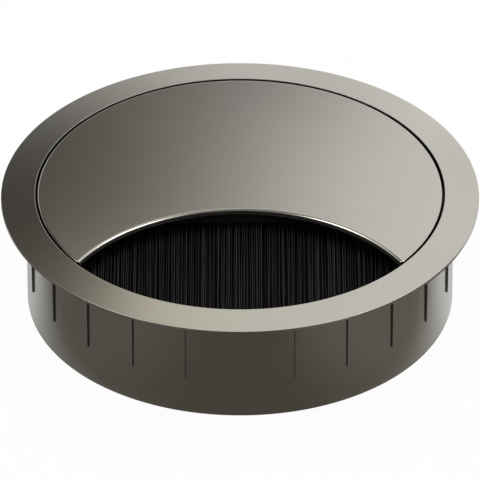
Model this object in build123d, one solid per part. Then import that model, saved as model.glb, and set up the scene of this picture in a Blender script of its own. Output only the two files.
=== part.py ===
from build123d import *
import math
import os

# Round desk cable outlet. All sizes are in millimetres. The sleeve's axis is Z, its lower edge
# lies at z = 0, and the opening for the cables is on the -Y side.

# Ring: the sleeve that drops into the hole in the desk, and the flange that lies on the desk
sleeve_radius = 39.8
sleeve_wall = 1.65
sleeve_length = 21.6
foot_chamfer = 0.2
root_chamfer = 0.3
flange_overhang = 4.7
flange_edge = 0.6
flange_rise = 0.6
flange_chamfer = 0.15

# Ribs on the outside of the sleeve, which grip the wall of the hole
rib_step = 15
rib_height = 0.4
rib_width = 0.6
rib_length = 14.2
rib_draft = 0.1

# Seat inside the ring for the cap
seat_width = 1.9
seat_thickness = 1.2
seat_end_margin = 7

# Cap
cap_gap = 0.5
cap_thickness = 1.25
cap_chamfer = 0.3
cap_corner = 0.5
opening_depth = 31.85
cut_radius = 34.2
collar_clearance = 0.25
collar_width = 1.2
collar_height = 1.5
collar_end_margin = 3.0

# Brush: filaments folded round a wire and crimped in a folded channel
wire_radius = 0.6
filament_thickness = 0.45
filament_width = 0.5
filament_pitch = 0.65
filament_end_gap = 0.5
fold_facet = 45
channel_sheet = 0.6
channel_leg = 2.4
filament_end_margin = 0.5

# Holder profile that carries the brush under the cap
holder_wall = 1.5
holder_round = 0.3
holder_setback = 0.5
holder_flange = 8.0
holder_end_clearance = 1.8
channel_end_inset = 1.0

# Screws and their bosses
screw_inset = 10.0
screw_radius = 1.1
screw_bite = 3.6
screw_tip = 0.8
head_radius = 2.0
head_height = 1.4
head_chamfer = 0.5
recess_width = 0.6
recess_length = 2.4
recess_depth = 0.8
boss_radius = 2.6
screw_clearance = 0.05
holder_hole_clearance = 0.2

# Heights
flange_bottom = sleeve_length
flange_edge_top = flange_bottom + flange_edge
top_level = flange_edge_top + flange_rise
seat_level = top_level - cap_thickness

# Radii
flange_radius = sleeve_radius + flange_overhang
bore_radius = sleeve_radius - sleeve_wall
seat_radius = bore_radius - seat_width
cap_radius = bore_radius - cap_gap
collar_radius = seat_radius - collar_clearance
collar_bore = collar_radius - collar_width

# The arc cut out of the cap, as a circle centred in front of the ring
cut_front = cap_radius - opening_depth
cut_offset = cut_front + cut_radius
corner_y = -(cap_radius**2 - cut_radius**2 + cut_offset**2) / (2 * cut_offset)
opening_half_angle = math.degrees(math.acos(-corner_y / cap_radius))

# Places of the brush and its holder
fold_radius = wire_radius + filament_thickness
channel_radius = fold_radius + channel_sheet
holder_front = -cut_front + holder_setback
wire_y = holder_front + channel_leg
wire_z = seat_level - holder_wall - channel_radius
pocket_back = wire_y + channel_radius
holder_back = pocket_back + holder_wall
holder_bottom = wire_z - channel_radius - holder_wall
flange_top = holder_bottom + holder_wall
flange_end = holder_back + holder_flange
holder_reach = max(abs(holder_front), abs(flange_end))
holder_length = 2 * (math.sqrt(collar_bore**2 - holder_reach**2) - holder_end_clearance)
channel_length = holder_length - 2 * channel_end_inset
screw_x = holder_length / 2 - screw_inset
screw_y = (holder_back + flange_end) / 2


def corner(face, x, y):
    """The vertex of a flat face that lies nearest to a point."""
    return face.vertices().sort_by_distance((x, y, 0))[0]


def ring_section():
    """Half section of sleeve and flange, as radius and height."""
    outline = Polyline(
        (bore_radius, 0),
        (sleeve_radius, 0),
        (sleeve_radius, flange_bottom),
        (flange_radius, flange_bottom),
        (flange_radius, flange_edge_top),
        (bore_radius, top_level),
        close=True,
    )
    face = make_face(outline)
    face = chamfer(corner(face, sleeve_radius, 0), foot_chamfer)
    face = chamfer(corner(face, sleeve_radius, flange_bottom), root_chamfer)
    face = chamfer(corner(face, flange_radius, flange_edge_top), flange_chamfer)
    return chamfer(corner(face, bore_radius, top_level), flange_chamfer)


def seat_ledge():
    """Ledge round the bore under the cap. It stops short of the cable opening."""
    outline = Polyline(
        (bore_radius + sleeve_wall / 2, seat_level),
        (seat_radius, seat_level),
        (seat_radius, seat_level - seat_thickness),
        (bore_radius, seat_level - seat_thickness - seat_width),
        (bore_radius + sleeve_wall / 2, seat_level - seat_thickness - seat_width),
        close=True,
    )
    clear_angle = opening_half_angle + seat_end_margin
    ledge = revolve(Plane.XZ * make_face(outline), Axis.Z, 360 - 2 * clear_angle)
    return Rot(0, 0, clear_angle - 90) * ledge


def grip_rib(angle):
    """One upright rib, a little lower at its free end so that it draws into the hole."""
    rib_bottom = flange_bottom - rib_length
    root = sleeve_radius - sleeve_wall / 2
    outline = Polyline(
        (root, rib_bottom),
        (sleeve_radius + rib_height - rib_draft, rib_bottom),
        (sleeve_radius + rib_height, flange_bottom),
        (root, flange_bottom),
        close=True,
    )
    rib = extrude(Plane.XZ * make_face(outline), rib_width / 2, both=True)
    return Rot(0, 0, angle) * rib


def rib_angles():
    """Every step round the sleeve, apart from the two sides where the mould parts."""
    steps = range(0, 360, rib_step)
    return [step for step in steps if step % 180 != 0]


def make_ring():
    body = revolve(Plane.XZ * ring_section(), Axis.Z)
    ribs = [grip_rib(angle) for angle in rib_angles()]
    return body + ribs + seat_ledge()


def cap_outline():
    """Round plate with the arc cut out of its front and the two tips softened."""
    face = Circle(cap_radius) - Pos(0, -cut_offset) * Circle(cut_radius)
    tips = face.vertices().sort_by(Axis.Y)[:2]
    return fillet(tips, cap_corner)


def cap_collar():
    """Low rim under the cap that centres it inside the seat."""
    band = Circle(collar_radius) - Circle(collar_bore)
    return band - Pos(0, -cut_offset) * Circle(cut_radius + collar_end_margin)


def screw_places():
    return [(-screw_x, screw_y), (screw_x, screw_y)]


def make_cap():
    plate = Pos(0, 0, seat_level) * extrude(cap_outline(), cap_thickness)
    plate = chamfer(plate.faces().sort_by(Axis.Z)[-1].edges(), cap_chamfer)
    plate += Pos(0, 0, seat_level - collar_height) * extrude(cap_collar(), collar_height)
    boss_height = seat_level - flange_top
    for x, y in screw_places():
        plate += Pos(x, y, flange_top) * extrude(Circle(boss_radius), boss_height)
        hole = extrude(Circle(screw_radius + screw_clearance), screw_bite + screw_clearance)
        plate -= Pos(x, y, flange_top) * hole
    return plate


def make_channel():
    """Sheet folded round a half circle, with two legs that point to -Y."""
    outline = [
        Line((-channel_leg, channel_radius), (0, channel_radius)),
        ThreePointArc((0, channel_radius), (channel_radius, 0), (0, -channel_radius)),
        Polyline((0, -channel_radius), (-channel_leg, -channel_radius)),
        Polyline((-channel_leg, -channel_radius), (-channel_leg, -fold_radius), (0, -fold_radius)),
        ThreePointArc((0, -fold_radius), (fold_radius, 0), (0, fold_radius)),
        Polyline((0, fold_radius), (-channel_leg, fold_radius), (-channel_leg, channel_radius)),
    ]
    section = Plane.YZ * make_face(outline)
    return Pos(0, wire_y, wire_z) * extrude(section, channel_length / 2, both=True)


def make_wire():
    section = Plane.YZ * Circle(wire_radius)
    return Pos(0, wire_y, wire_z) * extrude(section, channel_length / 2, both=True)


def fold_points(radius, steps):
    """Points round the wire, at steps of half a facet of the fold."""
    angles = [math.radians(step * fold_facet / 2) for step in steps]
    return [(radius * math.cos(a), radius * math.sin(a)) for a in angles]


def filament(x):
    """One filament, folded round the wire in flat facets and trimmed to the round of the bore."""
    trim_radius = bore_radius - filament_end_gap
    reach = math.sqrt(trim_radius**2 - (abs(x) + filament_width / 2) ** 2)
    tip = -(wire_y + reach)
    facet_radius = wire_radius / math.cos(math.radians(fold_facet / 2))
    outside = fold_points(fold_radius, (4, 2, 0, -2, -4))
    inside = fold_points(facet_radius, (3, 1, -1, -3))
    outline = Polyline(
        (tip, fold_radius),
        *outside,
        (tip, -fold_radius),
        (tip, -wire_radius),
        *reversed(inside),
        (tip, wire_radius),
        close=True,
    )
    section = Plane.YZ * make_face(outline)
    return Pos(x, wire_y, wire_z) * extrude(section, filament_width / 2, both=True)


def make_bristles():
    span = channel_length - 2 * filament_end_margin - filament_width
    gaps = int(span / filament_pitch)
    first = -gaps * filament_pitch / 2
    return Compound([filament(first + i * filament_pitch) for i in range(gaps + 1)])


def make_holder():
    outline = Polyline(
        (holder_front, seat_level),
        (holder_back, seat_level),
        (holder_back, flange_top),
        (flange_end, flange_top),
        (flange_end, holder_bottom),
        (holder_front, holder_bottom),
        (holder_front, flange_top),
        (pocket_back, flange_top),
        (pocket_back, seat_level - holder_wall),
        (holder_front, seat_level - holder_wall),
        close=True,
    )
    face = make_face(outline)
    for y, z in [(flange_end, flange_top), (flange_end, holder_bottom), (holder_front, holder_bottom)]:
        face = fillet(corner(face, y, z), holder_round)
    holder = extrude(Plane.YZ * face, holder_length / 2, both=True)
    for x, y in screw_places():
        hole = extrude(Circle(screw_radius + holder_hole_clearance), holder_wall)
        holder -= Pos(x, y, holder_bottom) * hole
    return holder


def make_screw():
    """Small pan head screw with a cross recess, its head at the bottom."""
    shank = holder_wall + screw_bite
    outline = Polyline(
        (0, -head_height),
        (head_radius, -head_height),
        (head_radius, 0),
        (screw_radius, 0),
        (screw_radius, shank - screw_tip),
        (screw_radius / 2, shank),
        (0, shank),
        close=True,
    )
    face = make_face(outline)
    face = chamfer(corner(face, head_radius, -head_height), head_chamfer)
    screw = revolve(Plane.XZ * face, Axis.Z)
    slot = extrude(Rectangle(recess_length, recess_width), recess_depth)
    for angle in (0, 90):
        screw -= Pos(0, 0, -head_height) * Rot(0, 0, angle) * slot
    return screw


def make_screws():
    screw = make_screw()
    return Compound([Pos(x, y, holder_bottom) * screw for x, y in screw_places()])


os.makedirs("parts", exist_ok=True)
export_step(make_ring(), "parts/ring.step")
export_step(make_cap(), "parts/cap.step")
export_step(make_bristles(), "parts/bristles.step")
export_step(make_channel(), "parts/brush_channel.step")
export_step(make_wire(), "parts/core_wire.step")
export_step(make_holder(), "parts/brush_holder.step")
export_step(make_screws(), "parts/holder_screws.step")
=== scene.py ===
import bpy
import bmesh
import math
from mathutils import Matrix, Vector


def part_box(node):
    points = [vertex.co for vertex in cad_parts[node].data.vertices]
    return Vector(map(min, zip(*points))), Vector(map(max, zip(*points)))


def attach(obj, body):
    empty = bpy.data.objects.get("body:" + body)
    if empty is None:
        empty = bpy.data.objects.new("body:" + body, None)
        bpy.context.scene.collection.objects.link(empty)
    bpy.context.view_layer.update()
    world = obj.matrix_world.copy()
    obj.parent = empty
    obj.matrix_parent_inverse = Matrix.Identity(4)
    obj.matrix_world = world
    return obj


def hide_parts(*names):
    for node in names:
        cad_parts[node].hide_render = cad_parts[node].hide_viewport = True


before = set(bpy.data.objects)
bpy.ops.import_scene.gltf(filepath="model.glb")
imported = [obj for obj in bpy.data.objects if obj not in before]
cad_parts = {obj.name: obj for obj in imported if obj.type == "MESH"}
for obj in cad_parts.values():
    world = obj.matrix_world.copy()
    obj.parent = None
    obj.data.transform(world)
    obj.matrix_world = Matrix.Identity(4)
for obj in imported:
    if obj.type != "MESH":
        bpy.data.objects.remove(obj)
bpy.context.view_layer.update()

# Lengths are in millimetres up to the mesh builder, which turns them into metres
MM = 0.001


def limits(node):
    """The lowest and highest corners of a CAD node, in millimetres to the micrometre."""
    return [[round(value / MM, 3) for value in corner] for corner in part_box(node)]


ring_high = limits("ring")[1]
cap_low, cap_high = limits("cap")
brush_low, brush_high = limits("bristles")
wire_low, wire_high = limits("core_wire")
holder_high = limits("brush_holder")[1]
screws_low, screws_high = limits("holder_screws")

# Ring
flange_overhang = 4.7
flange_edge = 0.6
flange_rise = 0.6
sleeve_wall = 1.65
top_level = cap_high[2]
flange_edge_top = top_level - flange_rise
flange_bottom = flange_edge_top - flange_edge
flange_radius = ring_high[0]
sleeve_radius = flange_radius - flange_overhang
bore_radius = sleeve_radius - sleeve_wall

# Ribs on the sleeve
rib_step = 15
rib_height = 0.4
rib_draft = 0.1
rib_width = 0.6
rib_length = 14.2
rib_root = 0.4

# Cap
opening_depth = 31.85
cut_radius = 34.2
cap_corner = 0.5
cap_radius = cap_high[1]
cut_offset = cap_radius - opening_depth + cut_radius

# Seat in the ring, open over the cables
seat_width = 1.9
seat_thickness = 1.2
seat_end_margin = 7
seat_level = holder_high[2]
seat_radius = bore_radius - seat_width
corner_y = -(cap_radius ** 2 - cut_radius ** 2 + cut_offset ** 2) / (2 * cut_offset)
seat_clear_angle = math.degrees(math.acos(-corner_y / cap_radius)) + seat_end_margin

# Collar and bosses under the cap
collar_clearance = 0.25
collar_width = 1.2
collar_height = 1.5
collar_end_margin = 3.0
collar_radius = seat_radius - collar_clearance
collar_bore = collar_radius - collar_width
boss_radius = 2.6
boss_bore = 1.15
boss_bottom = cap_low[2]
head_radius = 2.0
screw_x = screws_high[0] - head_radius
screw_y = (screws_low[1] + screws_high[1]) / 2

# Brush
filament_count = 3000
filament_radius = 0.1
filament_bow = 0.02
filament_lean = 0.35  # degrees
filament_stray = 6.5  # places along the channel
one_on_top_in = 23
lower_heights = (-1.0, 0.5)  # from -1 at the brush's bottom to 1 at its top
upper_heights = (0.6, 1.0)
# The least and most of the highlight painted on the filaments on top
top_highlight_range = (0.2, 1.0)
ragged = 0.3
trim_gap = 0.25
brush_end_margin = 0.225  # room for the filaments' own thickness and lean
brush_skin = 0.16
brush_half_length = brush_high[0] - brush_end_margin
brush_half_height = (brush_high[2] - brush_low[2]) / 2 - brush_skin
wire_y = (wire_low[1] + wire_high[1]) / 2
wire_z = (wire_low[2] + wire_high[2]) / 2

# How far the edges are rounded. A hidden edge lies inside another shape
cut_round = 0.42
rim_round = 0.25
foot_round = 0.25
flange_root = 0.25
flange_rim = 0.05
bore_edge = 0.1
seat_edge = 0.12
seat_root = 0.05
rib_edge = 0.04
rib_end = 0.1
boss_edge = 0.15
hole_edge = 0.08
hidden_edge = 0.02

# How far a shape reaches into the one that carries it
seat_sunk = 0.8
plate_sunk = 0.3
rib_sunk = 0.05

# Painted shade in narrow places, where the colour goes nearly black and the surface rougher: 1 is the full
# shade, as in the gap round the cap
gap_painted_shade = 1.0
flank_painted_shade = 0.765
cut_painted_shade = 0.6

# A margin for comparing places
hair = 0.001


# Small tools

def srgb(code):
    """A hex colour as the linear RGBA that a shader takes."""
    values = [int(code[i:i + 2], 16) / 255 for i in (1, 3, 5)]
    return [v / 12.92 if v < 0.04045 else ((v + 0.055) / 1.055) ** 2.4 for v in values] + [1.0]


def repeats(size):
    """The scale that makes a pattern repeat about once in a real length in millimetres."""
    return 1 / (size * MM)


def add(tree, kind, inputs=(), **settings):
    """Adds a node, with its settings, and its inputs as values or as sockets to link from."""
    node = tree.nodes.new(kind)
    for name, value in settings.items():
        setattr(node, name, value)
    for key, value in dict(inputs).items():
        if isinstance(value, bpy.types.NodeSocket):
            tree.links.new(value, node.inputs[key])
        else:
            node.inputs[key].default_value = value
    return node


def solid(name, points, faces, sharp=40, shade_share=None):
    """A mesh object from points in millimetres, with its faces outward and shaded smooth.
    An optional rule says how much shade is painted in at each point."""
    mesh = bpy.data.meshes.new(name)
    work = bmesh.new()
    verts = [work.verts.new([c * MM for c in p]) for p in points]
    for face in faces:
        work.faces.new([verts[i] for i in face])
    bmesh.ops.recalc_face_normals(work, faces=work.faces)
    work.to_mesh(mesh)
    work.free()
    for polygon in mesh.polygons:
        polygon.use_smooth = True
    mesh.set_sharp_from_angle(angle=math.radians(sharp))
    # Painted shade: the rule's share at each point, kept for the plating material
    if shade_share:
        share = mesh.attributes.new("painted_shade", "FLOAT", "POINT")
        share.data.foreach_set("value", [float(shade_share(*p)) for p in points])
    obj = bpy.data.objects.new(name, mesh)
    bpy.context.scene.collection.objects.link(obj)
    return obj


def join(name, parts):
    """Several objects as one, under a new name."""
    bpy.ops.object.select_all(action="DESELECT")
    for part in parts:
        part.select_set(True)
    bpy.context.view_layer.objects.active = parts[0]
    bpy.ops.object.join()
    parts[0].name = name
    parts[0].select_set(False)
    return parts[0]


def rounded(corners, guard, steps=4):
    """A closed outline whose corners (x, y, radius) are arcs. A guard point lies so far beyond each end
    of an arc, so that the flat beside it is shaded flat."""
    points = []
    for i, (x, y, radius) in enumerate(corners):
        before, after = corners[i - 1], corners[(i + 1) % len(corners)]
        u = (before[0] - x, before[1] - y)
        v = (after[0] - x, after[1] - y)
        lu, lv = math.hypot(*u), math.hypot(*v)
        u, v = (u[0] / lu, u[1] / lu), (v[0] / lv, v[1] / lv)
        half = math.acos(max(-1, min(1, u[0] * v[0] + u[1] * v[1]))) / 2
        reach = radius / math.tan(half)
        first = (x + u[0] * reach, y + u[1] * reach)
        last = (x + v[0] * reach, y + v[1] * reach)
        mid = (u[0] + v[0], u[1] + v[1])
        length = math.hypot(*mid)
        away = radius / math.sin(half) / length
        centre = (x + mid[0] * away, y + mid[1] * away)
        a = math.atan2(first[1] - centre[1], first[0] - centre[0])
        b = math.atan2(last[1] - centre[1], last[0] - centre[0])
        turn = (b - a + math.pi) % (2 * math.pi) - math.pi
        points.append((first[0] + u[0] * guard, first[1] + u[1] * guard))
        for k in range(steps + 1):
            angle = a + turn * k / steps
            points.append((centre[0] + radius * math.cos(angle), centre[1] + radius * math.sin(angle)))
        points.append((last[0] + v[0] * guard, last[1] + v[1] * guard))
    return points


def turned(name, section, start=0.0, stop=360.0, columns=240, shade_share=None):
    """A section of (radius, height) points turned round Z, closed by end faces if it isn't a full turn."""
    full = stop - start >= 360
    count = columns if full else columns + 1
    points, faces = [], []
    n = len(section)
    for j in range(count):
        angle = math.radians(start + (stop - start) * j / columns)
        points += [(r * math.cos(angle), r * math.sin(angle), z) for r, z in section]
    for j in range(columns):
        k = (j + 1) % count
        faces += [(j * n + i, k * n + i, k * n + (i + 1) % n, j * n + (i + 1) % n) for i in range(n)]
    if not full:
        faces.append(range(n))
        faces.append(range(columns * n, columns * n + n))
    return solid(name, points, faces, shade_share=shade_share)


# What repeats: ribs and filaments

def grown(name, tree, values):
    """Runs a node tree with its named inputs, and keeps the result as a plain mesh object."""
    source = bpy.data.objects.new(name + "_seed", bpy.data.meshes.new(name + "_seed"))
    bpy.context.scene.collection.objects.link(source)
    modifier = source.modifiers.new(name, "NODES")
    modifier.node_group = tree
    for item in tree.interface.items_tree:
        if item.in_out == "INPUT" and item.name in values:
            modifier[item.identifier] = values[item.name]
    graph = bpy.context.evaluated_depsgraph_get()
    result = bpy.data.meshes.new_from_object(source.evaluated_get(graph), depsgraph=graph)
    source.modifiers.remove(modifier)
    bpy.data.objects.remove(source)
    result.name = name
    obj = bpy.data.objects.new(name, result)
    bpy.context.scene.collection.objects.link(obj)
    return obj


def tree_with(name, sizes):
    """An empty geometry tree with its named inputs and one geometry output."""
    tree = bpy.data.node_groups.new(name, "GeometryNodeTree")
    for label, kind in sizes:
        tree.interface.new_socket(name=label, in_out="INPUT", socket_type=kind)
    tree.interface.new_socket(name="Geometry", in_out="OUTPUT", socket_type="NodeSocketGeometry")
    return tree


def rib_tree():
    """One rib repeated round the sleeve at an even step, apart from the two parting sides."""
    tree = tree_with("ribs_round_sleeve", [
        ("Rib", "NodeSocketObject"), ("Count", "NodeSocketInt"), ("Material", "NodeSocketMaterial")])
    given = add(tree, "NodeGroupInput")
    rib = add(tree, "GeometryNodeObjectInfo", {"Object": given.outputs["Rib"]})
    places = add(tree, "GeometryNodePoints", {"Count": given.outputs["Count"]})
    index = add(tree, "GeometryNodeInputIndex")
    step = add(tree, "ShaderNodeMath", {0: math.tau, 1: given.outputs["Count"]}, operation="DIVIDE")
    angle = add(tree, "ShaderNodeMath", {0: index.outputs[0], 1: step.outputs[0]}, operation="MULTIPLY")
    turn = add(tree, "ShaderNodeCombineXYZ", {"Z": angle.outputs[0]})
    half = add(tree, "ShaderNodeMath", {0: given.outputs["Count"], 1: 2.0}, operation="DIVIDE")
    rest = add(tree, "ShaderNodeMath", {0: index.outputs[0], 1: half.outputs[0]}, operation="MODULO")
    kept = add(tree, "ShaderNodeMath", {0: rest.outputs[0], 1: 0.5}, operation="GREATER_THAN")
    placed = add(tree, "GeometryNodeInstanceOnPoints", {
        "Points": places.outputs[0], "Instance": rib.outputs["Geometry"],
        "Selection": kept.outputs[0], "Rotation": turn.outputs[0]})
    real = add(tree, "GeometryNodeRealizeInstances", {0: placed.outputs[0]})
    dressed = add(tree, "GeometryNodeSetMaterial", {
        "Geometry": real.outputs[0], "Material": given.outputs["Material"]})
    add(tree, "NodeGroupOutput", {0: dressed.outputs[0]})
    return tree


def brush_tree():
    """Filaments that leave the channel side by side and are trimmed to a circle about the axis."""
    tree = tree_with("trimmed_brush", [
        ("Count", "NodeSocketInt"), ("Half length", "NodeSocketFloat"), ("Half height", "NodeSocketFloat"),
        ("Filament radius", "NodeSocketFloat"), ("Trim radius", "NodeSocketFloat"),
        ("Root y", "NodeSocketFloat"), ("Root z", "NodeSocketFloat"), ("Lean", "NodeSocketFloat"),
        ("Bow", "NodeSocketFloat"), ("Ragged", "NodeSocketFloat"), ("Every", "NodeSocketInt"),
        ("Seed", "NodeSocketInt"), ("Material", "NodeSocketMaterial")])
    given = add(tree, "NodeGroupInput").outputs
    index = add(tree, "GeometryNodeInputIndex").outputs[0]

    # One filament of unit length along -Y, bowed by a low wave of so many radians
    wave_length = 4.4
    line = add(tree, "GeometryNodeCurvePrimitiveLine", {"End": (0, -1, 0)})
    cut = add(tree, "GeometryNodeResampleCurve", {"Curve": line.outputs[0], "Count": 4})
    along = add(tree, "GeometryNodeSplineParameter").outputs["Factor"]
    phase = add(tree, "ShaderNodeMath", {0: along, 1: wave_length}, operation="MULTIPLY")
    wave = add(tree, "ShaderNodeMath", {0: phase.outputs[0]}, operation="SINE")
    bow = add(tree, "ShaderNodeMath", {0: wave.outputs[0], 1: given["Bow"]}, operation="MULTIPLY")
    aside = add(tree, "ShaderNodeCombineXYZ", {"X": bow.outputs[0]})
    bent = add(tree, "GeometryNodeSetPosition", {"Geometry": cut.outputs[0], "Offset": aside.outputs[0]})
    ring = add(tree, "GeometryNodeCurvePrimitiveCircle", {
        "Resolution": 6, "Radius": given["Filament radius"]})
    tube = add(tree, "GeometryNodeCurveToMesh", {
        "Curve": bent.outputs[0], "Profile Curve": ring.outputs["Curve"], "Fill Caps": True})

    # Roots in the channel: evenly spread along it. One in so many lies on top, where it catches the
    # light, and the others lie at random heights below
    jitter = add(tree, "FunctionNodeRandomValue", {
        2: -filament_stray, 3: filament_stray, "ID": index, "Seed": given["Seed"]}, data_type="FLOAT")
    spot = add(tree, "ShaderNodeMath", {0: index, 1: jitter.outputs[1]}, operation="ADD")
    share = add(tree, "ShaderNodeMath", {0: spot.outputs[0], 1: given["Count"]}, operation="DIVIDE")
    spread = add(tree, "ShaderNodeMapRange", {"Value": share.outputs[0], "To Min": -1.0, "To Max": 1.0})
    x = add(tree, "ShaderNodeMath", {0: spread.outputs[0], 1: given["Half length"]},
            operation="MULTIPLY").outputs[0]
    turn = add(tree, "ShaderNodeMath", {0: index, 1: given["Every"]}, operation="MODULO")
    top = add(tree, "ShaderNodeMath", {0: turn.outputs[0], 1: 0.5}, operation="LESS_THAN").outputs[0]
    other = add(tree, "ShaderNodeMath", {0: given["Seed"], 1: 1.0}, operation="ADD")
    lower = add(tree, "FunctionNodeRandomValue", {
        2: lower_heights[0], 3: lower_heights[1], "ID": index, "Seed": other.outputs[0]}, data_type="FLOAT")
    upper = add(tree, "FunctionNodeRandomValue", {
        2: upper_heights[0], 3: upper_heights[1], "ID": index, "Seed": other.outputs[0]}, data_type="FLOAT")
    raised = add(tree, "ShaderNodeMath", {0: upper.outputs[1], 1: top}, operation="MULTIPLY")
    level = add(tree, "ShaderNodeMath", {0: lower.outputs[1], 1: raised.outputs[0]}, operation="MAXIMUM")
    z = add(tree, "ShaderNodeMath", {0: level.outputs[0], 1: given["Half height"], 2: given["Root z"]},
            operation="MULTIPLY_ADD").outputs[0]
    root = add(tree, "ShaderNodeCombineXYZ", {"X": x, "Y": given["Root y"], "Z": z})
    places = add(tree, "GeometryNodePoints", {"Count": given["Count"], "Position": root.outputs[0]})

    # Length to the trimming circle, a little uneven
    square = add(tree, "ShaderNodeMath", {0: x, 1: x}, operation="MULTIPLY")
    whole = add(tree, "ShaderNodeMath", {0: given["Trim radius"], 1: given["Trim radius"]},
                operation="MULTIPLY")
    left = add(tree, "ShaderNodeMath", {0: whole.outputs[0], 1: square.outputs[0]}, operation="SUBTRACT")
    reach = add(tree, "ShaderNodeMath", {0: left.outputs[0]}, operation="SQRT")
    length = add(tree, "ShaderNodeMath", {0: reach.outputs[0], 1: given["Root y"]}, operation="ADD")
    third = add(tree, "ShaderNodeMath", {0: given["Seed"], 1: 2.0}, operation="ADD")
    short = add(tree, "FunctionNodeRandomValue", {
        2: 0.0, 3: given["Ragged"], "ID": index, "Seed": third.outputs[0]}, data_type="FLOAT")
    length = add(tree, "ShaderNodeMath", {0: length.outputs[0], 1: short.outputs[1]}, operation="SUBTRACT")
    size = add(tree, "ShaderNodeCombineXYZ", {"X": 1.0, "Y": length.outputs[0], "Z": 1.0})

    # How much highlight is painted on each filament, for its material: a random amount on those on top, where
    # light falls, and none below
    fifth = add(tree, "ShaderNodeMath", {0: given["Seed"], 1: 4.0}, operation="ADD")
    highlight = add(tree, "FunctionNodeRandomValue", {
        2: top_highlight_range[0], 3: top_highlight_range[1], "ID": index, "Seed": fifth.outputs[0]}, data_type="FLOAT")
    shown = add(tree, "ShaderNodeMath", {0: highlight.outputs[1], 1: top}, operation="MULTIPLY")
    places = add(tree, "GeometryNodeStoreNamedAttribute", {
        "Geometry": places.outputs[0], "Name": "scuffed", "Value": shown.outputs[0]},
        data_type="FLOAT", domain="POINT")

    # Each filament leans a little its own way and is rolled about its own length
    fourth = add(tree, "ShaderNodeMath", {0: given["Seed"], 1: 3.0}, operation="ADD")
    most = add(tree, "ShaderNodeCombineXYZ", {"X": given["Lean"], "Y": math.pi, "Z": given["Lean"]})
    least = add(tree, "ShaderNodeVectorMath", {0: most.outputs[0], 1: (0, -1, -1)}, operation="MULTIPLY")
    lean = add(tree, "FunctionNodeRandomValue", {
        0: least.outputs[0], 1: most.outputs[0], "ID": index, "Seed": fourth.outputs[0]},
        data_type="FLOAT_VECTOR")
    placed = add(tree, "GeometryNodeInstanceOnPoints", {
        "Points": places.outputs[0], "Instance": tube.outputs[0],
        "Rotation": lean.outputs[0], "Scale": size.outputs[0]})
    real = add(tree, "GeometryNodeRealizeInstances", {0: placed.outputs[0]})

    # The sides, which are faces of four corners, are shaded round and the ends flat
    corners = add(tree, "GeometryNodeInputMeshFaceNeighbors").outputs["Vertex Count"]
    side = add(tree, "ShaderNodeMath", {0: corners, 1: 4.5}, operation="LESS_THAN")
    flat = add(tree, "GeometryNodeSetShadeSmooth", {"Geometry": real.outputs[0], "Shade Smooth": False})
    smooth = add(tree, "GeometryNodeSetShadeSmooth", {
        "Geometry": flat.outputs[0], "Selection": side.outputs[0], "Shade Smooth": True})
    dressed = add(tree, "GeometryNodeSetMaterial", {
        "Geometry": smooth.outputs[0], "Material": given["Material"]})
    add(tree, "NodeGroupOutput", {0: dressed.outputs[0]})
    return tree


# Materials

def fresh(name):
    """A material with an empty tree that holds the output and one Principled shader."""
    material = bpy.data.materials.new(name)
    material.use_nodes = True
    tree = material.node_tree
    tree.nodes.clear()
    shader = add(tree, "ShaderNodeBsdfPrincipled")
    add(tree, "ShaderNodeOutputMaterial", {"Surface": shader.outputs[0]})
    return material, tree, shader


def satin_black_nickel():
    """Die-cast zinc, tumbled smooth and plated in black nickel: a warm grey metal with a soft, even
    sheen, faint clouds of 11 mm, a satin of 0.5 mm and a barely visible grain of 0.2 mm. In narrow
    places, such as the gap round the cap, the cap's walls and the flanks of the ribs, shade is
    painted in: the colour goes nearly black and the surface rougher."""
    material, tree, shader = fresh("satin_black_nickel")
    shader.inputs["Metallic"].default_value = 1.0
    place = add(tree, "ShaderNodeTexCoord").outputs["Object"]
    cloud = add(tree, "ShaderNodeTexNoise", {"Vector": place, "Scale": repeats(11), "Detail": 3.0}).outputs[0]
    plated = add(tree, "ShaderNodeMix", {0: cloud, 6: srgb("#b9b6ae"), 7: srgb("#bdbab2")}, data_type="RGBA")
    # Painted shade: where the share is 1 the colour is nearly black and the surface rougher
    shade_share = add(tree, "ShaderNodeAttribute", attribute_name="painted_shade").outputs["Fac"]
    colour = add(tree, "ShaderNodeMix", {0: shade_share, 6: plated.outputs[2], 7: srgb("#201f1c")}, data_type="RGBA")
    tree.links.new(colour.outputs[2], shader.inputs["Base Color"])
    fine = add(tree, "ShaderNodeTexNoise", {"Vector": place, "Scale": repeats(0.55), "Detail": 2.0})
    satin = add(tree, "ShaderNodeMapRange", {
        "Value": fine.outputs[0], "To Min": 0.215, "To Max": 0.23}).outputs[0]
    rough = add(tree, "ShaderNodeMix", {0: shade_share, 2: satin, 3: 0.5}, data_type="FLOAT")
    tree.links.new(rough.outputs[0], shader.inputs["Roughness"])
    grain = add(tree, "ShaderNodeTexNoise", {"Vector": place, "Scale": repeats(0.2), "Detail": 2.0})
    bump = add(tree, "ShaderNodeBump", {"Height": grain.outputs[0], "Strength": 0.05, "Distance": 0.003 * MM})
    tree.links.new(bump.outputs[0], shader.inputs["Normal"])
    return material


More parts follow.
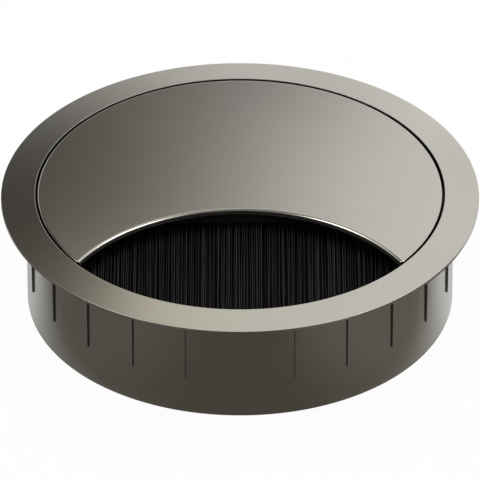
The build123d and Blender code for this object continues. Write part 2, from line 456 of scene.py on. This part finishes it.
def black_nylon():
    """Drawn black nylon filament: near black, with a dull grey highlight painted on the filaments on top,
    where the light falls. The streaks along a filament are half as wide as it is, 0.1 mm, and 50 times
    as long as wide."""
    material, tree, shader = fresh("black_nylon_filament")
    shader.inputs["IOR"].default_value = 1.53
    shader.inputs["Specular IOR Level"].default_value = 0.06
    place = add(tree, "ShaderNodeTexCoord").outputs["Object"]
    drawn = add(tree, "ShaderNodeMapping", {"Vector": place, "Scale": (1.0, 0.02, 1.0)})
    streak = add(tree, "ShaderNodeTexNoise", {
        "Vector": drawn.outputs[0], "Scale": repeats(0.2), "Detail": 1.0}).outputs[0]
    highlight = add(tree, "ShaderNodeAttribute", attribute_name="scuffed").outputs["Fac"]
    uneven = add(tree, "ShaderNodeMapRange", {
        "Value": streak, "From Min": 0.35, "From Max": 0.65, "To Min": 0.55})
    share = add(tree, "ShaderNodeMath", {0: highlight, 1: uneven.outputs[0]}, operation="MULTIPLY")
    # Painted highlight: the filaments on top are painted grey, streaked along their length, the rest black
    colour = add(tree, "ShaderNodeMix", {
        0: share.outputs[0], 6: srgb("#000000"), 7: srgb("#353537")}, data_type="RGBA")
    tree.links.new(colour.outputs[2], shader.inputs["Base Color"])
    rough = add(tree, "ShaderNodeMapRange", {"Value": streak, "To Min": 0.6, "To Max": 0.5})
    tree.links.new(rough.outputs[0], shader.inputs["Roughness"])
    return material


def bright_zinc():
    """Rolled steel with bright zinc plating: a cool, light metal with faint crystal clouds of 1 mm."""
    material, tree, shader = fresh("zinc_plated_steel")
    shader.inputs["Metallic"].default_value = 1.0
    place = add(tree, "ShaderNodeTexCoord").outputs["Object"]
    cloud = add(tree, "ShaderNodeTexVoronoi", {"Vector": place, "Scale": repeats(1)})
    colour = add(tree, "ShaderNodeMix", {
        0: cloud.outputs["Distance"], 6: srgb("#aeb2b6"), 7: srgb("#c6c9cb")}, data_type="RGBA")
    tree.links.new(colour.outputs[2], shader.inputs["Base Color"])
    fine = add(tree, "ShaderNodeTexNoise", {"Vector": place, "Scale": repeats(0.33), "Detail": 2.0})
    rough = add(tree, "ShaderNodeMapRange", {"Value": fine.outputs[0], "To Min": 0.28, "To Max": 0.42})
    tree.links.new(rough.outputs[0], shader.inputs["Roughness"])
    return material


def black_anodised():
    """Extruded aluminium, etched and anodised black: matt, with die lines of 0.1 mm along the profile."""
    material, tree, shader = fresh("black_anodised_aluminium")
    shader.inputs["Metallic"].default_value = 0.6
    place = add(tree, "ShaderNodeTexCoord").outputs["Object"]
    drawn = add(tree, "ShaderNodeMapping", {"Vector": place, "Scale": (0.01, 1.0, 1.0)})
    lines = add(tree, "ShaderNodeTexNoise", {
        "Vector": drawn.outputs[0], "Scale": repeats(0.17), "Detail": 2.0})
    colour = add(tree, "ShaderNodeMix", {
        0: lines.outputs[0], 6: srgb("#101011"), 7: srgb("#1b1b1c")}, data_type="RGBA")
    tree.links.new(colour.outputs[2], shader.inputs["Base Color"])
    rough = add(tree, "ShaderNodeMapRange", {"Value": lines.outputs[0], "To Min": 0.42, "To Max": 0.58})
    tree.links.new(rough.outputs[0], shader.inputs["Roughness"])
    bump = add(tree, "ShaderNodeBump", {"Height": lines.outputs[0], "Strength": 0.3, "Distance": 0.01 * MM})
    tree.links.new(bump.outputs[0], shader.inputs["Normal"])
    return material


# The pieces

def ring_body():
    """Sleeve and flange as one turned skin with softened edges."""
    section = rounded([
        (bore_radius, 0.0, bore_edge), (sleeve_radius, 0.0, foot_round),
        (sleeve_radius, flange_bottom, flange_root), (flange_radius, flange_bottom, flange_rim),
        (flange_radius, flange_edge_top, flange_rim), (bore_radius, top_level, bore_edge)], guard=0.05)
    # The painted shade of the gap ends between two points at the seat's level
    change = 0.05
    section += [(bore_radius, seat_level + change), (bore_radius, seat_level - change)]

    def beside_cap(x, y, z):
        """The bore's wall over the seat, in the narrow gap round the cap, where shade is painted."""
        in_bore = math.hypot(x, y) < bore_radius + bore_edge / 10
        in_gap = seat_level < z < top_level - bore_edge / 2 and y > cap_tip()[1]
        return gap_painted_shade * (in_bore and in_gap)

    return turned("ring_body", section, shade_share=beside_cap)


def ring_seat():
    """The ledge that the cap rests on, open over the cable side."""
    inside = bore_radius + seat_sunk
    edge_bottom = seat_level - seat_thickness
    foot = edge_bottom - seat_width
    section = rounded([
        (inside, seat_level, seat_root), (seat_radius, seat_level, seat_edge),
        (seat_radius, edge_bottom, seat_edge), (bore_radius, foot, bore_edge), (inside, foot, seat_root)],
        steps=2, guard=0.03)

    def under_cap(x, y, z):
        """The face that the cap covers, where shade is painted."""
        return gap_painted_shade * (z > seat_level - hair)

    return turned("ring_seat", section, seat_clear_angle - 90, 270 - seat_clear_angle, columns=160,
                  shade_share=under_cap)


def rib_bar():
    """One upright rib at +X, rooted in the sleeve, with crisp corners and a softened lower end."""
    root = sleeve_radius - rib_root
    bottom = flange_bottom - rib_length
    levels = [
        (bottom, rib_end), (bottom + 0.3 * rib_end, 0.3 * rib_end), (bottom + rib_end, 0.0),
        (bottom + 2 * rib_end, 0.0), (flange_bottom + rib_sunk, 0.0)]
    points, faces = [], []
    for z, inset in levels:
        top = sleeve_radius + rib_height - rib_draft * (flange_bottom - z) / rib_length - inset
        half = rib_width / 2 - inset
        edge = rounded([
            (root, -half, hidden_edge), (top, -half, rib_edge), (top, half, rib_edge),
            (root, half, hidden_edge)], steps=3, guard=0.02)
        points += [(x, y, z) for x, y in edge]
    n = len(edge)
    for k in range(len(levels) - 1):
        faces += [(n * k + i, n * k + (i + 1) % n, n * k + n + (i + 1) % n, n * k + n + i) for i in range(n)]
    faces.append(range(n))
    faces.append(range(n * len(levels) - n, n * len(levels)))

    def flanks(x, y, z):
        """The two sides, down to their corners with the sleeve, where shade is painted."""
        return flank_painted_shade * (abs(y) > rib_width / 2 - 3 * hair)

    return solid("rib_bar", points, faces, sharp=50, shade_share=flanks)


def cap_tip():
    """The centre of the arc at the cap's tip, which touches the rim from inside and the cut from outside."""
    rim, cut = cap_radius - cap_corner, cut_radius + cap_corner
    y = -(rim ** 2 - cut ** 2 + cut_offset ** 2) / (2 * cut_offset)
    return math.sqrt(rim ** 2 - y ** 2), y


def cap_outline():
    """The cap's edge as points with their outward directions, and the share that says how far each
    takes the form of the cut's edge."""
    tip_x, tip_y = cap_tip()
    rim_end = math.atan2(tip_y, tip_x)
    cut_end = math.atan2(tip_y + cut_offset, tip_x)
    rim_points, tip_points, cut_points = 221, 13, 161
    arcs = [
        (0, 0, cap_radius, rim_end, math.pi - rim_end, rim_points, 0, 0),
        (-tip_x, tip_y, cap_corner, math.pi - rim_end, math.tau - cut_end, tip_points, 0, 1),
        (0, -cut_offset, -cut_radius, math.tau - cut_end, math.pi + cut_end, cut_points, 1, 1),
        (tip_x, tip_y, cap_corner, cut_end - math.pi, rim_end, tip_points, 1, 0)]
    edge = []
    for x, y, radius, start, stop, count, first, last in arcs:
        for k in range(count - 1):
            t = k / (count - 1)
            a = start + (stop - start) * t
            edge.append((x + radius * math.cos(a), y + radius * math.sin(a), math.cos(a), math.sin(a),
                         first + (last - first) * t))
    return edge


def cap_plate():
    """The plate. Its upper edge is rounded, and more so along the cut than along the rim."""
    edge = cap_outline()
    thick = top_level - seat_level
    steps = 8
    rim_form, cut_form = [], []
    for form, radius in ((rim_form, rim_round), (cut_form, cut_round)):
        # Insets and heights of the soft lower edge, the wall, the rounded upper edge and the top's rim
        form += [(0.22, 0.0), (0.08, 0.0), (0.03, 0.03), (0.0, 0.08), (0.0, 0.3), (0.0, 0.4)]
        form.append((0.0, thick - radius - 0.05))
        for k in range(steps + 1):
            a = math.pi / 2 * k / steps
            form.append((radius * (1 - math.cos(a)), thick - radius + radius * math.sin(a)))
        form.append((radius + 0.08, thick))
    n = len(edge)
    points, faces = [], [range(n)]
    for (rim_in, rim_z), (cut_in, cut_z) in zip(rim_form, cut_form):
        for x, y, nx, ny, share in edge:
            inset = rim_in + (cut_in - rim_in) * share
            points.append((x - nx * inset, y - ny * inset, seat_level + rim_z + (cut_z - rim_z) * share))
    rows = len(rim_form)
    faces.append(range(n * (rows - 1), n * rows))
    for k in range(rows - 1):
        low, high = k * n, (k + 1) * n
        faces += [(low + i, low + (i + 1) % n, high + (i + 1) % n, high + i) for i in range(n)]

    def walls(x, y, z):
        """The upright walls, from over their lower edge to under the rounded one, where shade is painted,
        less of it along the cut than round the rim.
        """
        near_cut = cut_radius + 0.1
        if math.hypot(x, y + cut_offset) < near_cut:
            share, lower, upper = cut_painted_shade, 0.2, cut_round
        else:
            share, lower, upper = gap_painted_shade, 0.05, rim_round
        return share * (seat_level + lower < z < top_level - upper + hair)

    return solid("cap_plate", points, faces, sharp=50, shade_share=walls)


def cap_collar():
    """The low rim under the plate, open over the cut."""
    circle = cut_radius + collar_end_margin
    y = -(collar_radius ** 2 - circle ** 2 + cut_offset ** 2) / (2 * cut_offset)
    end = math.degrees(math.acos(-y / collar_radius))
    top = seat_level + plate_sunk
    bottom = seat_level - collar_height
    section = rounded([
        (collar_radius, top, hidden_edge), (collar_bore, top, hidden_edge),
        (collar_bore, bottom, seat_edge), (collar_radius, bottom, seat_edge)], steps=2, guard=0.03)
    return turned("cap_collar", section, end - 90, 270 - end, columns=160)


def cap_boss(x):
    """A round boss with the screw's hole in it."""
    top = seat_level + plate_sunk
    section = rounded([
        (boss_radius, top, hidden_edge), (boss_bore, top, hidden_edge),
        (boss_bore, boss_bottom, hole_edge), (boss_radius, boss_bottom, boss_edge)], steps=2, guard=0.04)
    boss = turned("cap_boss", section, columns=40)
    boss.data.transform(Matrix.Translation((x * MM, screw_y * MM, 0)))
    return boss


# The object, put together

plating = satin_black_nickel()
nylon = black_nylon()
zinc = bright_zinc()
anodised = black_anodised()

bar = rib_bar()
ribs = grown("ring_ribs", rib_tree(), {"Rib": bar, "Count": 360 // rib_step, "Material": plating})
bpy.data.objects.remove(bar)
ring = join("ring_shell", [ring_body(), ring_seat(), ribs])
cap = join("cap_shell", [cap_plate(), cap_collar(), cap_boss(-screw_x), cap_boss(screw_x)])
for piece in (ring, cap):
    piece.data.materials.clear()
    piece.data.materials.append(plating)

brush = grown("brush_filaments", brush_tree(), {
    "Count": filament_count, "Half length": brush_half_length * MM, "Half height": brush_half_height * MM,
    "Filament radius": filament_radius * MM, "Trim radius": (bore_radius - trim_gap) * MM,
    "Root y": wire_y * MM, "Root z": wire_z * MM, "Lean": math.radians(filament_lean),
    "Bow": filament_bow * MM, "Ragged": ragged * MM, "Every": one_on_top_in, "Seed": 7, "Material": nylon})

FINISHES = {"brush_channel": anodised, "brush_holder": anodised, "core_wire": zinc, "holder_screws": zinc}
for name, finish in FINISHES.items():
    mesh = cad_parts[name].data
    mesh.materials.clear()
    mesh.materials.append(finish)

SHELLS = [(ring, "ring", "plated_zinc"), (cap, "cap", "plated_zinc"), (brush, "bristles", "black_nylon")]
for piece, node, slot in SHELLS:
    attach(piece, "root")
    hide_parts(node)


# The stage

def sheet(name, low, high):
    """A plain rectangle between two corners, upright in a plane of equal y or flat in one of equal z."""
    (x0, y0, z0), (x1, y1, z1) = low, high
    corners = [(x0, y0, z0), (x1, y0, z0), (x1, y1, z1), (x0, y1, z1)]
    obj = solid(name, corners, [(0, 1, 2, 3)])
    return obj


def seen(tree):
    """One for rays from the camera, and for those that a glossy or clear surface sends on."""
    path = add(tree, "ShaderNodeLightPath").outputs
    first = add(tree, "ShaderNodeMath", {
        0: path["Is Camera Ray"], 1: path["Is Glossy Ray"]}, operation="MAXIMUM")
    both = add(tree, "ShaderNodeMath", {
        0: first.outputs[0], 1: path["Is Transmission Ray"]}, operation="MAXIMUM")
    return both.outputs[0]


def pale_floor():
    """Matt white board. Most of what the eye sees of it is an even white, and the rest is its light
    and the object's shadow."""
    material = bpy.data.materials.new("matt_white_board")
    material.use_nodes = True
    tree = material.node_tree
    tree.nodes.clear()
    matt = add(tree, "ShaderNodeBsdfDiffuse", {"Color": srgb("#f4f4f2")})
    glow = add(tree, "ShaderNodeEmission", {"Color": (1, 1, 1, 1), "Strength": 1.0})
    even_white = 0.96
    share = add(tree, "ShaderNodeMath", {0: seen(tree), 1: even_white}, operation="MULTIPLY")
    mix = add(tree, "ShaderNodeMixShader", {0: share.outputs[0], 1: matt.outputs[0], 2: glow.outputs[0]})
    add(tree, "ShaderNodeOutputMaterial", {"Surface": mix.outputs[0]})
    return material


def card(name, low, high, fade, level, turn, tint):
    """A studio card that only reflections show, turned about Z. It fades to nothing from so far inside
    its edges to as far outside. Level 0 is a black card."""
    axes = [i for i in range(3) if low[i] != high[i]]
    near = [v - fade if i in axes else v for i, v in enumerate(low)]
    far = [v + fade if i in axes else v for i, v in enumerate(high)]
    obj = sheet(name, near, far)
    obj.data.transform(Matrix.Rotation(math.radians(turn), 4, "Z"))
    material = bpy.data.materials.new(name)
    material.use_nodes = True
    material.cycles.emission_sampling = "FRONT_BACK" if name in SAMPLED else "NONE"
    tree = material.node_tree
    tree.nodes.clear()
    place = add(tree, "ShaderNodeTexCoord").outputs["Object"]
    back = add(tree, "ShaderNodeMapping", {"Vector": place, "Rotation": (0, 0, -math.radians(turn))})
    split = add(tree, "ShaderNodeSeparateXYZ", {0: back.outputs[0]})
    shares = []
    for i in axes:
        middle, half = (low[i] + high[i]) / 2 * MM, (high[i] - low[i]) / 2 * MM
        off = add(tree, "ShaderNodeMath", {0: split.outputs[i], 1: middle}, operation="SUBTRACT")
        size = add(tree, "ShaderNodeMath", {0: off.outputs[0]}, operation="ABSOLUTE")
        shares.append(add(tree, "ShaderNodeMapRange", {
            "Value": size.outputs[0], "From Min": half - fade * MM, "From Max": half + fade * MM,
            "To Min": 1.0, "To Max": 0.0}, interpolation_type="SMOOTHSTEP").outputs[0])
    share = add(tree, "ShaderNodeMath", {0: shares[0], 1: shares[1]}, operation="MULTIPLY")
    glow = add(tree, "ShaderNodeEmission", {"Color": srgb(tint), "Strength": level})
    clear = add(tree, "ShaderNodeBsdfTransparent")
    mix = add(tree, "ShaderNodeMixShader", {0: share.outputs[0], 1: clear.outputs[0], 2: glow.outputs[0]})
    add(tree, "ShaderNodeOutputMaterial", {"Surface": mix.outputs[0]})
    obj.data.materials.append(material)
    obj.visible_camera = False
    obj.visible_diffuse = False
    obj.visible_shadow = False
    return obj


floor_reach = 3000
floor = sheet("floor", (-floor_reach, -floor_reach, 0), (floor_reach, floor_reach, 0))
floor.data.materials.append(pale_floor())

# Each card has its lowest and highest corner, its fade, level, turn in degrees and tint. A level of 1 is
# white. Cards on the floor are seen in the sleeve, and those behind the ring in the cap and the flange. The
# walls and the top are for other views. Three large bright cards are sampled as lights, which keeps their
# reflections free of noise.
SAMPLED = ("card_high_white", "card_right_white", "card_far_white")
CARDS = [
    ("card_floor_front", (-25, -1500, 0.1), (25, -13, 0.1), 15, 0.11, 0, "#fff4e6"),
    ("card_floor_front_left", (36, -1500, 0.08), (1500, 1500, 0.08), 7.5, 0.15, 230, "#fff8ee"),
    ("card_floor_front_right", (35.5, -1500, 0.06), (1500, 1500, 0.06), 7.5, 0.185, -54, "#fff8ee"),
    ("card_floor_left", (-1500, -60, 0.04), (0, 1500, 0.04), 12.5, 0.62, 0, "#fbfdff"),
    ("card_floor_right", (0, -60, 0.02), (1500, 1500, 0.02), 12.5, 0.72, 0, "#ffffff"),
    ("card_back", (-3000, 900, 0), (3000, 900, 3000), 12.5, 0.042, 0, "#fff4e6"),
    ("card_left", (-1000, -1500, 0), (-1000, 900, 1500), 12.5, 0.15, 0, "#ffffff"),
    ("card_right", (1000, -1500, 0), (1000, 900, 1500), 12.5, 0.3, 0, "#ffffff"),
    ("card_front", (-1000, -1500, 0), (1000, -1500, 1500), 12.5, 0.25, 0, "#ffffff"),
    ("card_top_left", (-1000, -1500, 1500), (0, 900, 1500), 12.5, 0.2, 0, "#ffffff"),
    ("card_top_right", (0, -1500, 1501), (1000, 900, 1501), 12.5, 0.3, 0, "#ffffff"),
    ("card_far_left", (-900, 600, -50), (-140, 600, 230), 50, 2.2, 0, "#ffffff"),
    ("card_far_white", (-102, 600, 0), (568, 600, 225), 120, 2.45, 0, "#ffffff"),
    ("card_near_left", (-34, 126, 70), (-10, 126, 118), 15, 0.15, 0, "#fff2dc"),
    ("card_high_left", (-85, 125, 150), (-20, 125, 553), 30, 0.2, 0, "#fff2dc"),
    ("card_high_white", (-39, 123, 134), (475, 123, 553), 10, 1.0, 0, "#fffcf1"),
    ("card_right_white", (3, 80, 46), (713, 80, 650), 32.5, 1.0, 0, "#ffffff"),
    ("card_right_low", (30, 79, 15), (713, 79, 60), 15, 1.1, 0, "#ffffff")]
for name, low, high, fade, level, turn, tint in CARDS:
    card(name, low, high, fade, level, turn, tint)

# The world is white to the camera and in reflections, and lights matt surfaces with an even, dimmer light
world = bpy.data.worlds.new("studio")
bpy.context.scene.world = world
world.use_nodes = True
tree = world.node_tree
tree.nodes.clear()
light = add(tree, "ShaderNodeBackground", {"Color": (1, 1, 1, 1), "Strength": 0.4})
white = add(tree, "ShaderNodeBackground", {"Color": (1, 1, 1, 1), "Strength": 1.0})
mix = add(tree, "ShaderNodeMixShader", {0: seen(tree), 1: light.outputs[0], 2: white.outputs[0]})
add(tree, "ShaderNodeOutputWorld", {"Surface": mix.outputs[0]})

# Two soft boxes draw the bright line on the cap's cut, and a third overhead lights the brush. Each has its
# place, width, height and radiance, and says whether it lights gloss or matt surfaces.
LAMPS = [
    ("lamp_left", (-370, -220, 260), 260, 240, 4.5, True),
    ("lamp_right", (410, -170, 250), 340, 240, 4.5, True),
    ("lamp_over", (0, 250, 900), 300, 250, 20.0, False)]
for name, place, width, height, radiance, glossy in LAMPS:
    lamp = bpy.data.lights.new(name, "AREA")
    lamp.shape = "RECTANGLE"
    lamp.size = width * MM
    lamp.size_y = height * MM
    lamp.energy = radiance * math.pi * lamp.size * lamp.size_y
    obj = bpy.data.objects.new(name, lamp)
    obj.location = Vector(place) * MM
    obj.rotation_euler = (-Vector(place)).to_track_quat("-Z", "Y").to_euler()
    obj.visible_glossy = glossy
    obj.visible_diffuse = not glossy
    bpy.context.scene.collection.objects.link(obj)

# Camera: the photograph's long lens, 34.5 degrees above the horizon, straight on to the opening. The middle
# of the flange lies over the centre of the view by the drop.
camera_tilt = math.radians(34.489)
camera_distance = 1674.98
camera_drop = 8.467
lens = bpy.data.cameras.new("camera")
lens.sensor_width = 36.0
lens.lens = 675.0
lens.clip_start = 0.05
lens.clip_end = 20.0
camera = bpy.data.objects.new("camera", lens)
camera.location = Vector((
    0.0,
    -math.cos(camera_tilt) * camera_distance - math.sin(camera_tilt) * camera_drop,
    flange_edge_top + math.sin(camera_tilt) * camera_distance - math.cos(camera_tilt) * camera_drop)) * MM
camera.rotation_euler = (math.pi / 2 - camera_tilt, 0, 0)
bpy.context.scene.collection.objects.link(camera)
bpy.context.scene.camera = camera
bpy.context.scene.view_settings.view_transform = "Standard"
